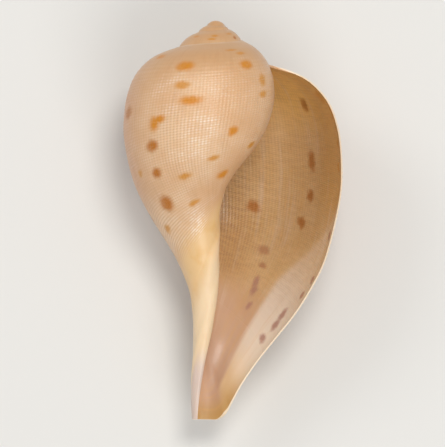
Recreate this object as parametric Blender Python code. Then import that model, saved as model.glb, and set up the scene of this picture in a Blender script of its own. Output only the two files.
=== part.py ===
"""A fig shell, modelled as it grew: one thin wall that winds round an axis and widens with each turn.

Units are metres in Blender and millimetres in the sizes below. The shell is worked out in its own frame,
with the spiral's centre at the apex, +Y towards the spire and +Z out of the aperture, and is then laid on
its back, as it rests on a table with the aperture facing up.

Every point of the wall has a turn (radians wound back from the outer lip) and a row (its place along the
growth line, from the suture down to the canal and round the pillar).
"""

import math

import bmesh
import bpy
import numpy as np
from mathutils import Euler, Vector

MM = 0.001

# Growth: each whorl is this many times as large as the one before it.
WHORL_RATIO = 2.07
WHORLS = 3.25
GROWTH = math.log(WHORL_RATIO) / (2 * math.pi)

# Growth line at the outer lip: (distance from the axis, depth below the apex).
LIP_OUTLINE = (
    (12.5, 9.8), (15.8, 10.7), (19.5, 12.2), (22.1, 14.0), (25.4, 17.9), (27.7, 24.3), (28.6, 33.8),
    (28.2, 39.7), (25.4, 52.5), (22.8, 58.2), (19.3, 64.1), (15.3, 69.4), (11.3, 74.7), (8.0, 79.8),
    (5.8, 84.2), (4.3, 87.6),
)
# The same line one whorl earlier and before, scaled up to the lip: a fuller shoulder and a slimmer neck.
EARLY_OUTLINE = (
    (11.5, 9.3), (14.3, 10.6), (17.3, 12.2), (20.1, 14.5), (22.7, 17.6), (24.7, 21.2), (26.3, 26.0),
    (27.2, 34.4), (26.4, 40.7), (24.6, 47.1), (22.0, 52.4), (18.5, 57.4), (14.6, 61.6), (10.8, 65.6),
    (7.5, 70.0), (5.5, 75.7), (4.4, 81.6), (4.1, 87.8),
)
OUTLINE_CHANGE = 1.5  # how late in the last whorl the early line turns into the lip's

# Pillar (columella): the growth line's end bends round the axis at the depth of the canal's tip.
# (degrees round the axis, distance from it)
PILLAR_OUTLINE = ((0, 4.2), (45, 4.1), (90, 3.6), (120, 3.7), (150, 3.3), (180, 2.3), (270, 2.6), (360, 3.3))
CANAL_DEPTH = 87.9
PILLAR_OPEN_WRAP = math.radians(180)  # the canal's trough stays open on the last part of the growth
PILLAR_OPEN_TURN = math.radians(160)
PILLAR_CLOSED_TURN = math.radians(250)  # from here up the pillar is one closed, solid post

# Corner at the canal's tip, rounded where the growth line bends round the axis, along the open trough.
CORNER_SHARE = 0.11
CORNER_WRAP = math.radians(55)

# Suture: depth of each whorl's upper edge on the whorl before it, which drops close to the lip.
SUTURE_DEPTH = 9.3
LIP_SUTURE_DEPTH = 9.8
SUTURE_DROP_TURN = math.radians(110)
SUTURE_BLEND = 0.08  # share of the growth line that bends to meet the suture

# Wall
WALL = 0.9
LIP_WALL = 0.45
LIP_THIN_TURN = math.radians(24)  # the wall thins over this last stretch
PILLAR_WALL = 0.65
SUTURE_FOOT = 0.026  # share of the growth line that the wall's upper edge covers where it is joined
LIP_FOOT = 0.015  # the same at the lip, where the wall is thin
LIP_LEAN = math.radians(5)  # the lip's middle runs this far ahead of its two ends
LEAN_FROM = 0.22

# Apex: the first whorl narrows away round a dome that closes over the axis.
APEX_DEPTH = 0.45
DOME_RINGS = 3
DOME_START = math.radians(25)

# Facets
TURN_STEPS = 36
SPIRE_ROWS = 4
BODY_ROWS = 18
PILLAR_ROWS = 9
STEPS_PER_PILLAR_ROW = TURN_STEPS // PILLAR_ROWS
HOLLOW_WHORLS = 1.9
JOIN_ROW = SPIRE_ROWS  # the next whorl's outside joins this row, and its inside the row after it
LAST_WALL_ROW = SPIRE_ROWS + BODY_ROWS
LAST_ROW = LAST_WALL_ROW + PILLAR_ROWS
LAST_STEP = round(WHORLS * TURN_STEPS)
HOLLOW_STEPS = round(HOLLOW_WHORLS * TURN_STEPS)
CLOSED_STEP = round(PILLAR_CLOSED_TURN / (2 * math.pi) * TURN_STEPS)

# How it lies: turned onto its back about its width, then rolled about its length.
REST_PITCH = math.radians(8.6)
REST_ROLL = math.radians(-1.2)

SHELL_COLOUR = (0.72, 0.50, 0.32, 1.0)
SHELL_ROUGHNESS = 0.42


def smooth_line(points, count):
    """Evenly spaced points on a smooth curve through the given ones."""
    knots = np.array(points, float)
    gaps = np.linalg.norm(np.diff(knots, axis=0), axis=1) ** 0.5
    at = np.concatenate([[0.0], np.cumsum(gaps)])
    slopes = np.gradient(knots, at, axis=0)
    where = np.linspace(0.0, at[-1], 20 * count)
    first = np.clip(np.searchsorted(at, where, side="right") - 1, 0, len(at) - 2)
    span = (at[first + 1] - at[first])[:, None]
    t = (where - at[first])[:, None] / span
    curve = (
        (2 * t**3 - 3 * t**2 + 1) * knots[first]
        + (t**3 - 2 * t**2 + t) * span * slopes[first]
        + (3 * t**2 - 2 * t**3) * knots[first + 1]
        + (t**3 - t**2) * span * slopes[first + 1]
    )
    run = np.concatenate([[0.0], np.cumsum(np.linalg.norm(np.diff(curve, axis=0), axis=1))])
    even = np.linspace(0.0, run[-1], count)
    return np.stack([np.interp(even, run, curve[:, k]) for k in (0, 1)], axis=1)


LINE_POINTS = 400
LINE_SHARES = np.linspace(0.0, 1.0, LINE_POINTS)
LIP_LINE = smooth_line(LIP_OUTLINE, LINE_POINTS)
EARLY_LINE = smooth_line(EARLY_OUTLINE, LINE_POINTS)


def ease(x):
    """0 below 0, 1 above 1, and smooth between."""
    x = min(max(x, 0.0), 1.0)
    return x * x * (3 - 2 * x)


def growth_line(turn):
    """The growth line at a turn, at the lip's scale, before its upper end is joined to the whorl above."""
    early = min(turn / (2 * math.pi), 1.0) ** OUTLINE_CHANGE
    return LIP_LINE + (EARLY_LINE - LIP_LINE) * early


def line_point(line, share):
    """(distance from the axis, depth) at a share of a growth line's length."""
    return np.array([np.interp(share, LINE_SHARES, line[:, k]) for k in (0, 1)])


def suture_depth(turn):
    """Depth of the upper edge of the whorl at this turn, at the lip's scale."""
    drop = 1 - ease(turn / SUTURE_DROP_TURN)
    return SUTURE_DEPTH + (LIP_SUTURE_DEPTH - SUTURE_DEPTH) * drop


def join_share(turn):
    """Where, along the growth line at this turn, the next whorl's upper edge lies."""
    line = growth_line(turn)
    depth = suture_depth(max(turn - 2 * math.pi, 0.0)) * WHORL_RATIO
    upper = line[:, 1] <= line[LINE_POINTS // 2, 1]
    return float(np.interp(depth, line[upper, 1], LINE_SHARES[upper]))


def row_share(turn, row):
    """Share of the growth line's length at which a row of the wall lies."""
    join = join_share(turn)
    if row <= JOIN_ROW:
        return join * row / JOIN_ROW
    thin = 1 - ease(abs(turn - 2 * math.pi) / LIP_THIN_TURN)
    foot = join + SUTURE_FOOT + (LIP_FOOT - SUTURE_FOOT) * thin
    return foot + (1 - foot) * (row - JOIN_ROW - 1) / (BODY_ROWS - 1)


def wound(turn, angle, radius, depth):
    """A point of the shell's own frame from one at the lip's scale."""
    size = math.exp(-GROWTH * turn)
    return Vector((radius * size * math.cos(angle), -depth * size, -radius * size * math.sin(angle)))


def lean(share):
    """How far a growth line runs ahead of the half-plane through the axis, as an angle."""
    past = max(share - LEAN_FROM, 0.0) / (1 - LEAN_FROM)
    return LIP_LEAN * math.sin(math.pi * past) ** 2


def wall_section(turn, share):
    """(distance, depth) on the wall's outside at the lip's scale, joined to the whorl before it at the top."""
    point = line_point(growth_line(turn), share)
    if share < SUTURE_BLEND and turn <= (WHORLS - 1) * 2 * math.pi:
        before = turn + 2 * math.pi
        joined = line_point(growth_line(before), join_share(before)) / WHORL_RATIO
        start = line_point(growth_line(turn), 0.0)
        point = point + (joined - start) * (1 - share / SUTURE_BLEND) ** 2
    return point


def narrowed(turn, radius, depth):
    """The same point drawn to the first whorl's lower edge, which it meets where the growth began."""
    amount = max(turn / (2 * math.pi) - (WHORLS - 1), 0.0) ** 2
    edge = wall_section(turn, join_share(turn))
    return np.array([radius, depth]) * (1 - amount) + edge * amount


def wall_thickness(turn):
    """Thickness of the wall at the lip's scale."""
    return LIP_WALL + (WALL - LIP_WALL) * ease(turn / LIP_THIN_TURN)


def pillar_wrap(turn):
    """How far round the axis the growth line's end reaches."""
    closing = (turn - PILLAR_OPEN_TURN) / (PILLAR_CLOSED_TURN - PILLAR_OPEN_TURN)
    return PILLAR_OPEN_WRAP + (2 * math.pi - PILLAR_OPEN_WRAP) * ease(closing)


def place_on_line(turn, row):
    """(share, wrap) of a row: its share of the growth line, and how far round the axis it lies past the end."""
    if row <= LAST_WALL_ROW:
        return row_share(turn, row), 0.0
    return 1.0, pillar_wrap(turn) * (row - LAST_WALL_ROW) / PILLAR_ROWS


def pillar_radius(wrap):
    """The pillar's distance from the axis, at an angle round it."""
    degrees, radii = zip(*PILLAR_OUTLINE)
    return float(np.interp(math.degrees(wrap), degrees, radii))


def outer_point(turn, share, wrap):
    """(angle, distance, depth) on the outside, before the corner at the canal's tip is rounded."""
    if wrap > 0:
        return np.array([turn + wrap, pillar_radius(wrap), CANAL_DEPTH])
    radius, depth = wall_section(turn, share)
    if share < join_share(turn):
        radius, depth = narrowed(turn, radius, depth)
    return np.array([turn - lean(share), radius, depth])


def inner_point(turn, share, wrap):
    """(angle, distance, depth) on the inside, before the corner at the canal's tip is rounded."""
    if wrap > 0:
        return np.array([turn + wrap, pillar_radius(wrap) - PILLAR_WALL, CANAL_DEPTH])
    ahead, behind = (wall_section(turn, min(max(share + d, 0.0), 1.0)) for d in (0.01, -0.01))
    along = (ahead - behind) / np.linalg.norm(ahead - behind)
    radius, depth = wall_section(turn, share) + np.array([-along[1], along[0]]) * wall_thickness(turn)
    return np.array([turn - lean(share), radius, depth])


def rounded(point, step, row):
    """A point of one side of the wall, with the corner at the canal's tip rounded."""
    turn = step / TURN_STEPS * 2 * math.pi
    share, wrap = place_on_line(turn, row)
    place = point(turn, share, wrap)
    past = wrap / CORNER_WRAP if wrap > 0 else (1 - share) / CORNER_SHARE
    if past < 1 and turn < PILLAR_CLOSED_TURN:
        corner = point(turn, 1.0, 0.0)
        bend = point(turn, 1 - CORNER_SHARE, 0.0) + point(turn, 1.0, CORNER_WRAP) - 2 * corner
        fading = 1 - ease((turn - PILLAR_OPEN_TURN) / (PILLAR_CLOSED_TURN - PILLAR_OPEN_TURN))
        place = place + bend * fading * (1 - past) ** 2 / 4
    return wound(turn, *place)


def outside(step, row):
    """A point of the wall's outside."""
    return rounded(outer_point, step, row)


def inside(step, row):
    """A point of the wall's inside, which faces the hollow."""
    return rounded(inner_point, step, row)


class ShellMesh:
    """Collects the shell's corners and faces, so that joined edges share their corners."""

    def __init__(self):
        self.mesh = bmesh.new()
        self.corners = {}

    def corner(self, side, step, row):
        """The corner at a place on the wall, made when first asked for."""
        if side == "inside" and row == 0:
            side, step, row = "outside", step + TURN_STEPS, JOIN_ROW + 1
        elif side == "outside" and row == 0 and step + TURN_STEPS <= LAST_STEP:
            step, row = step + TURN_STEPS, JOIN_ROW
        elif step == LAST_STEP and row < JOIN_ROW:
            row = JOIN_ROW
        elif side == "outside" and row == LAST_ROW and step >= CLOSED_STEP:
            side, row = "inside", LAST_WALL_ROW
        key = (side, step, row)
        if key not in self.corners:
            place = outside(step, row) if side == "outside" else inside(step, row)
            self.corners[key] = self.mesh.verts.new(place * MM)
        return self.corners[key]

    def face(self, *places):
        """One face through the corners at these places."""
        corners = [self.corner(*place) for place in places]
        self.mesh.faces.new([c for n, c in enumerate(corners) if c not in corners[:n]])

    def close_loops(self):
        """Closes each open loop: the apex with a dome, the pillar's core and the hollow's far end flat."""
        open_edges = {edge for edge in self.mesh.edges if len(edge.link_faces) == 1}
        while open_edges:
            edge = open_edges.pop()
            loop = [edge.verts[0], edge.verts[1]]
            while loop[-1] is not loop[0]:
                edge = next(e for e in loop[-1].link_edges if e in open_edges)
                open_edges.discard(edge)
                loop.append(edge.other_vert(loop[-1]))
            loop.pop()
            if max(corner.co.length for corner in loop) > 0.1 * CANAL_DEPTH * MM:
                self.mesh.faces.new(loop)
                continue
            self.dome(loop)

    def dome(self, loop):
        """Rounds the apex off in rings inside its last open loop."""
        hub = Vector((0.0, -APEX_DEPTH * MM, 0.0))
        before = loop
        for ring in range(1, DOME_RINGS + 1):
            part = DOME_START + ring / DOME_RINGS * (math.pi / 2 - DOME_START)
            here = [self.mesh.verts.new(hub)]
            if ring < DOME_RINGS:
                here[0].co = dome_place(loop[0].co, hub, part)
                here += [self.mesh.verts.new(dome_place(corner.co, hub, part)) for corner in loop[1:]]
            for n, corner in enumerate(before):
                after = (n + 1) % len(before)
                face = (corner, before[after], here[after % len(here)], here[n % len(here)])
                self.mesh.faces.new(face[:3] if ring == DOME_RINGS else face)
            before = here


def dome_place(rim, hub, part):
    """A point of the dome over a point of its rim, where part runs on to a right angle at the hub."""
    spread = math.cos(part) / math.cos(DOME_START)
    rise = (math.sin(part) - math.sin(DOME_START)) / (1 - math.sin(DOME_START))
    return Vector((rim.x * spread, rim.y + (hub.y - rim.y) * rise, rim.z * spread))


def outside_is_open(step, row):
    """Whether the outside's face from this step and row is on the shell's surface."""
    if step >= TURN_STEPS and row == JOIN_ROW:
        return False  # covered by the next whorl's upper edge
    if step < TURN_STEPS + HOLLOW_STEPS and row < LAST_WALL_ROW:
        return True
    return row < JOIN_ROW or LAST_WALL_ROW <= row and step < pillar_end(row)


def pillar_end(row):
    """The last step at which a row of the pillar still bounds the hollow, on both of its edges."""
    return HOLLOW_STEPS + TURN_STEPS - STEPS_PER_PILLAR_ROW * (row + 1 - LAST_WALL_ROW)


def build_mesh():
    """The shell's closed surface in its own frame."""
    shell = ShellMesh()
    for step in range(LAST_STEP):
        for row in range(LAST_ROW):
            if outside_is_open(step, row):
                shell.face(*(("outside", step + a, row + b) for a, b in ((0, 0), (0, 1), (1, 1), (1, 0))))
    for row in range(LAST_WALL_ROW, LAST_ROW):
        end = pillar_end(row)
        for step in range(end, end + STEPS_PER_PILLAR_ROW):
            shell.face(("outside", step, row), ("outside", end, row + 1), ("outside", step + 1, row))
    for step in range(HOLLOW_STEPS):
        rows = LAST_ROW if step < CLOSED_STEP else LAST_WALL_ROW
        for row in range(rows):
            shell.face(*(("inside", step + a, row + b) for a, b in ((0, 0), (1, 0), (1, 1), (0, 1))))
    for row in range(LAST_ROW):
        shell.face(("outside", 0, row), ("inside", 0, row), ("inside", 0, row + 1), ("outside", 0, row + 1))
    for step in range(CLOSED_STEP):
        shell.face(
            ("outside", step, LAST_ROW), ("inside", step, LAST_ROW),
            ("inside", step + 1, LAST_ROW), ("outside", step + 1, LAST_ROW),
        )
    shell.close_loops()
    bmesh.ops.triangulate(shell.mesh, faces=shell.mesh.faces)
    bmesh.ops.recalc_face_normals(shell.mesh, faces=shell.mesh.faces)
    return shell.mesh


def shell_material():
    """Thin, fleshy cream shell with a soft shine."""
    material = bpy.data.materials.new("shell_wall")
    material.use_nodes = True
    shader = material.node_tree.nodes["Principled BSDF"]
    shader.inputs["Base Color"].default_value = SHELL_COLOUR
    shader.inputs["Roughness"].default_value = SHELL_ROUGHNESS
    shader.inputs["Metallic"].default_value = 0.0
    return material


def lay_on_back(shell):
    """Turns the shell to how it rests and puts its box's bottom centre on the origin."""
    shell.rotation_euler = Euler((REST_PITCH, REST_ROLL, 0.0), "XYZ")
    bpy.context.view_layer.update()
    corners = np.array([shell.matrix_world @ vertex.co for vertex in shell.data.vertices])
    low, high = corners.min(axis=0), corners.max(axis=0)
    shell.location = (-(low[0] + high[0]) / 2, -(low[1] + high[1]) / 2, -low[2])


def main():
    """Builds the shell in an empty scene."""
    for old in list(bpy.data.objects):
        bpy.data.objects.remove(old)
    surface = build_mesh()
    data = bpy.data.meshes.new("shell")
    surface.to_mesh(data)
    surface.free()
    data.shade_smooth()
    data.set_sharp_from_angle(angle=math.radians(50))
    data.materials.append(shell_material())
    shell = bpy.data.objects.new("shell", data)
    parts = bpy.data.collections.new("fig_shell")
    bpy.context.scene.collection.children.link(parts)
    parts.objects.link(shell)
    lay_on_back(shell)


main()
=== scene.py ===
"""Looks of a fig shell that lies on its back on a pale table, with its mouth up.

The shell's wall is laid out as one flat sheet of growth lines. A Geometry Nodes tree winds the sheet into
the spiral, raises its fine cords and lays the shell down. Two finishes dress it: the netted, blotched
outside, and the glazed inside. Sizes are in millimetres unless a name or a comment says otherwise.
"""

from __future__ import annotations

import logging
import math
import random
from collections.abc import Iterable, Sequence
from dataclasses import dataclass, field
from enum import Enum
from typing import Any

import bpy
import numpy as np
from mathutils import Matrix, Vector


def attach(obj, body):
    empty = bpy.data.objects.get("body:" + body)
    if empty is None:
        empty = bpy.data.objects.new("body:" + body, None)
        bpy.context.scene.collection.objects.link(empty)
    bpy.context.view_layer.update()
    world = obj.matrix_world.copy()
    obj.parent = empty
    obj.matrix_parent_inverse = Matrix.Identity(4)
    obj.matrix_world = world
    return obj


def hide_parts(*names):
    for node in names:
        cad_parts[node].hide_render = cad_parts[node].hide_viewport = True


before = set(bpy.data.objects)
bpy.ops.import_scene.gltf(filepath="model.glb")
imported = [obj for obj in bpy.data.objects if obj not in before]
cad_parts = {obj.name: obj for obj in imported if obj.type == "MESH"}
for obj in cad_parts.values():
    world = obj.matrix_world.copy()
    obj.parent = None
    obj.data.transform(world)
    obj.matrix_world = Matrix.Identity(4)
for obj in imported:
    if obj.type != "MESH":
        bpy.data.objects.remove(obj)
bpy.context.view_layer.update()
LOG = logging.getLogger("fig_shell")
MM = 0.001
FULL_TURN = 2 * math.pi
NET_UNIT = 100.0  # riblets or cords to one unit of the net UV map

Colour = tuple[float, float, float, float]
Outline = tuple[tuple[float, float], ...]


class Side(Enum):
    """The two faces of the shell's wall."""

    OUTSIDE = 0
    INSIDE = 1


class Tone(Enum):
    """The pigments of the blotches, as linear colours."""

    FAINT = (0.60, 0.260, 0.040, 1.0)
    TAN = (0.61, 0.225, 0.010, 1.0)
    RUST = (0.46, 0.145, 0.002, 1.0)
    BROWN = (0.40, 0.120, 0.010, 1.0)
    VIOLET = (0.38, 0.165, 0.120, 1.0)
    ROSE = (0.47, 0.215, 0.105, 1.0)
    MAUVE = (0.46, 0.225, 0.165, 1.0)


def ease(x: float | np.ndarray) -> float | np.ndarray:
    """Rise smoothly from 0 at 0 to 1 at 1.

    Args:
        x: Where on the rise, as a number or an array.

    Returns:
        The height of the rise there.
    """
    x = np.clip(x, 0.0, 1.0)
    return x * x * (3 - 2 * x)


def smooth_line(points: Outline, count: int) -> np.ndarray:
    """Draw a smooth curve through a few points.

    Args:
        points: The points, in order.
        count: How many evenly spaced points the curve gets.

    Returns:
        The curve's points, one to a row.
    """
    knots = np.array(points, float)
    gaps = np.linalg.norm(np.diff(knots, axis=0), axis=1) ** 0.5
    at = np.concatenate([[0.0], np.cumsum(gaps)])
    slopes = np.gradient(knots, at, axis=0)
    where = np.linspace(0.0, at[-1], 20 * count)
    first = np.clip(np.searchsorted(at, where, side="right") - 1, 0, len(at) - 2)
    span = (at[first + 1] - at[first])[:, None]
    t = (where - at[first])[:, None] / span
    curve = (
        (2 * t**3 - 3 * t**2 + 1) * knots[first]
        + (t**3 - 2 * t**2 + t) * span * slopes[first]
        + (3 * t**2 - 2 * t**3) * knots[first + 1]
        + (t**3 - t**2) * span * slopes[first + 1]
    )
    run = np.concatenate([[0.0], np.cumsum(np.linalg.norm(np.diff(curve, axis=0), axis=1))])
    even = np.linspace(0.0, run[-1], count)
    return np.stack([np.interp(even, run, curve[:, k]) for k in (0, 1)], axis=1)


@dataclass(frozen=True)
class Growth:
    """The shell's form as it grew: outlines in (distance from the axis, depth below the apex).

    A turn is an angle wound back from the outer lip, and everything shrinks with it. A share is a place
    down a growth line, from 0 at the suture to 1 at the canal. The pillar's outline gives its radius at
    angles in degrees round the axis from the canal.
    """

    whorl_ratio: float = 2.07
    whorls: float = 3.25
    lip: Outline = (
        (12.5, 9.8), (15.8, 10.7), (19.5, 12.2), (22.1, 14.0), (25.4, 17.9), (27.7, 24.3), (28.6, 33.8),
        (28.2, 39.7), (25.4, 52.5), (22.8, 58.2), (19.3, 64.1), (15.3, 69.4), (11.3, 74.7), (8.0, 79.8),
        (5.8, 84.2), (4.3, 87.6),
    )
    early: Outline = (
        (11.5, 9.3), (14.3, 10.6), (17.3, 12.2), (20.1, 14.5), (22.7, 17.6), (24.7, 21.2), (26.3, 26.0),
        (27.2, 34.4), (26.4, 40.7), (24.6, 47.1), (22.0, 52.4), (18.5, 57.4), (14.6, 61.6), (10.8, 65.6),
        (7.5, 70.0), (5.5, 75.7), (4.4, 81.6), (4.1, 87.8),
    )
    outline_change: float = 1.5
    pillar: Outline = (
        (0, 4.2), (45, 4.1), (90, 3.6), (120, 3.7), (150, 3.3), (180, 2.3), (270, 2.6), (360, 3.3),
    )
    canal_depth: float = 87.9
    open_wrap: float = math.radians(180)
    open_turn: float = math.radians(160)
    closed_turn: float = math.radians(250)
    corner_share: float = 0.11
    corner_wrap: float = math.radians(55)
    suture_depth: float = 9.3
    lip_suture_depth: float = 9.8
    suture_drop_turn: float = math.radians(110)
    suture_blend: float = 0.08
    suture_foot: float = 0.026
    lip_foot: float = 0.012
    wall: float = 0.9
    lip_wall: float = 0.28
    lip_thin_turn: float = math.radians(24)
    pillar_wall: float = 0.65
    lip_lean: float = math.radians(5)
    lean_from: float = 0.22
    apex_depth: float = 0.45
    dome_start: float = math.radians(25)
    points: int = 600
    tangent_step: float = 0.01

    @property
    def rate(self) -> float:
        """How fast the shell shrinks with each radian back from the lip."""
        return math.log(self.whorl_ratio) / FULL_TURN

    def lines(self) -> tuple[np.ndarray, np.ndarray]:
        """Give the lip's and the early growth line as smooth curves."""
        return smooth_line(self.lip, self.points), smooth_line(self.early, self.points)


class GrowthLines:
    """Reads points of the shell's wall off its growth lines."""

    def __init__(self, growth: Growth) -> None:
        """Keep the form and its two smooth outlines.

        Args:
            growth: The shell's form.
        """
        self.growth = growth
        self.lip, self.early = growth.lines()
        self.shares = np.linspace(0.0, 1.0, growth.points)

    def line(self, turn: float) -> np.ndarray:
        """Give the points of the growth line at a turn, at the lip's size."""
        early = min(turn / FULL_TURN, 1.0) ** self.growth.outline_change
        return self.lip + (self.early - self.lip) * early

    def at(self, line: np.ndarray, share: float | np.ndarray) -> np.ndarray:
        """Read (distance, depth) pairs off a growth line, at one share down it or several."""
        return np.stack([np.interp(share, self.shares, line[:, k]) for k in (0, 1)], axis=-1)

    def join(self, turn: float) -> float:
        """Find where the next whorl's upper edge lies on this growth line.

        Args:
            turn: The angle wound back from the lip.

        Returns:
            The share down the growth line.
        """
        line, growth = self.line(turn), self.growth
        drop = 1 - ease((turn - FULL_TURN) / growth.suture_drop_turn)
        depth = growth.suture_depth + (growth.lip_suture_depth - growth.suture_depth) * drop
        upper = line[:, 1] <= line[len(line) // 2, 1]
        return float(np.interp(depth * growth.whorl_ratio, line[upper, 1], self.shares[upper]))

    def section(self, turn: float, share: np.ndarray) -> np.ndarray:
        """Give points on the wall's outside, with the top joined to the whorl before it.

        Args:
            turn: The angle wound back from the lip.
            share: The places down the growth line.

        Returns:
            The (distance, depth) pairs at the lip's size.
        """
        growth = self.growth
        points = self.at(self.line(turn), share)
        if turn <= (growth.whorls - 1) * FULL_TURN:
            before = turn + FULL_TURN
            joined = self.at(self.line(before), self.join(before)) / growth.whorl_ratio
            pull = np.clip(1 - share / growth.suture_blend, 0.0, 1.0) ** 2
            points = points + (joined - self.at(self.line(turn), 0.0)) * pull[:, None]
        return points

    def inner_section(self, turn: float, share: np.ndarray) -> np.ndarray:
        """Give points on the wall's inside.

        Args:
            turn: The angle wound back from the lip.
            share: The places down the growth line.

        Returns:
            The (distance, depth) pairs at the lip's size.
        """
        growth = self.growth
        past, before = (np.clip(share + step, 0, 1) for step in (growth.tangent_step, -growth.tangent_step))
        along = self.section(turn, past) - self.section(turn, before)
        along /= np.linalg.norm(along, axis=1)[:, None]
        thick = growth.lip_wall + (growth.wall - growth.lip_wall) * ease(turn / growth.lip_thin_turn)
        return self.section(turn, share) + np.stack([-along[:, 1], along[:, 0]], axis=1) * thick

    def lean(self, share: np.ndarray) -> np.ndarray:
        """Say by what angle a growth line runs ahead of the half-plane through the axis."""
        past = np.clip(share - self.growth.lean_from, 0.0, None) / (1 - self.growth.lean_from)
        return self.growth.lip_lean * np.sin(math.pi * past) ** 2

    def closing(self, turn: float) -> float:
        """Say how far the pillar has closed at a turn, from 0 at the open canal to 1."""
        growth = self.growth
        return float(ease((turn - growth.open_turn) / (growth.closed_turn - growth.open_turn)))

    def wrap(self, turn: float) -> float:
        """Say by what angle a growth line's end reaches round the axis."""
        return self.growth.open_wrap + (FULL_TURN - self.growth.open_wrap) * self.closing(turn)


Place = tuple[Side, int, int]


@dataclass(frozen=True)
class CordRelief:
    """How far the cords stand out: full on the last whorl, faint on the spire, none on the neck."""

    start: float = 0.10
    rise: float = 0.08
    end: float = 0.93
    fade: float = 0.20
    hidden_from: float = 0.30
    hidden_rise: float = 0.24
    hidden_loss: float = 0.9
    spire: float = 0.2
    spire_margin: int = 6

    def body(self, turn: float, share: np.ndarray) -> np.ndarray:
        """Give the last whorl's factors, which drop where the glaze behind the mouth hides the cords."""
        height = ease((self.end - share) / self.fade) * ease((share - self.start) / self.rise)
        hidden = ease((turn - FULL_TURN + self.hidden_from) / self.hidden_rise)
        return height * (1 - self.hidden_loss * hidden)

    def above(self, rows: np.ndarray, join_row: int) -> np.ndarray:
        """Give the spire's factors, which drop to nothing at both of its sutures."""
        return self.spire * ease(rows / self.spire_margin) * ease((join_row - rows) / self.spire_margin)


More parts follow.
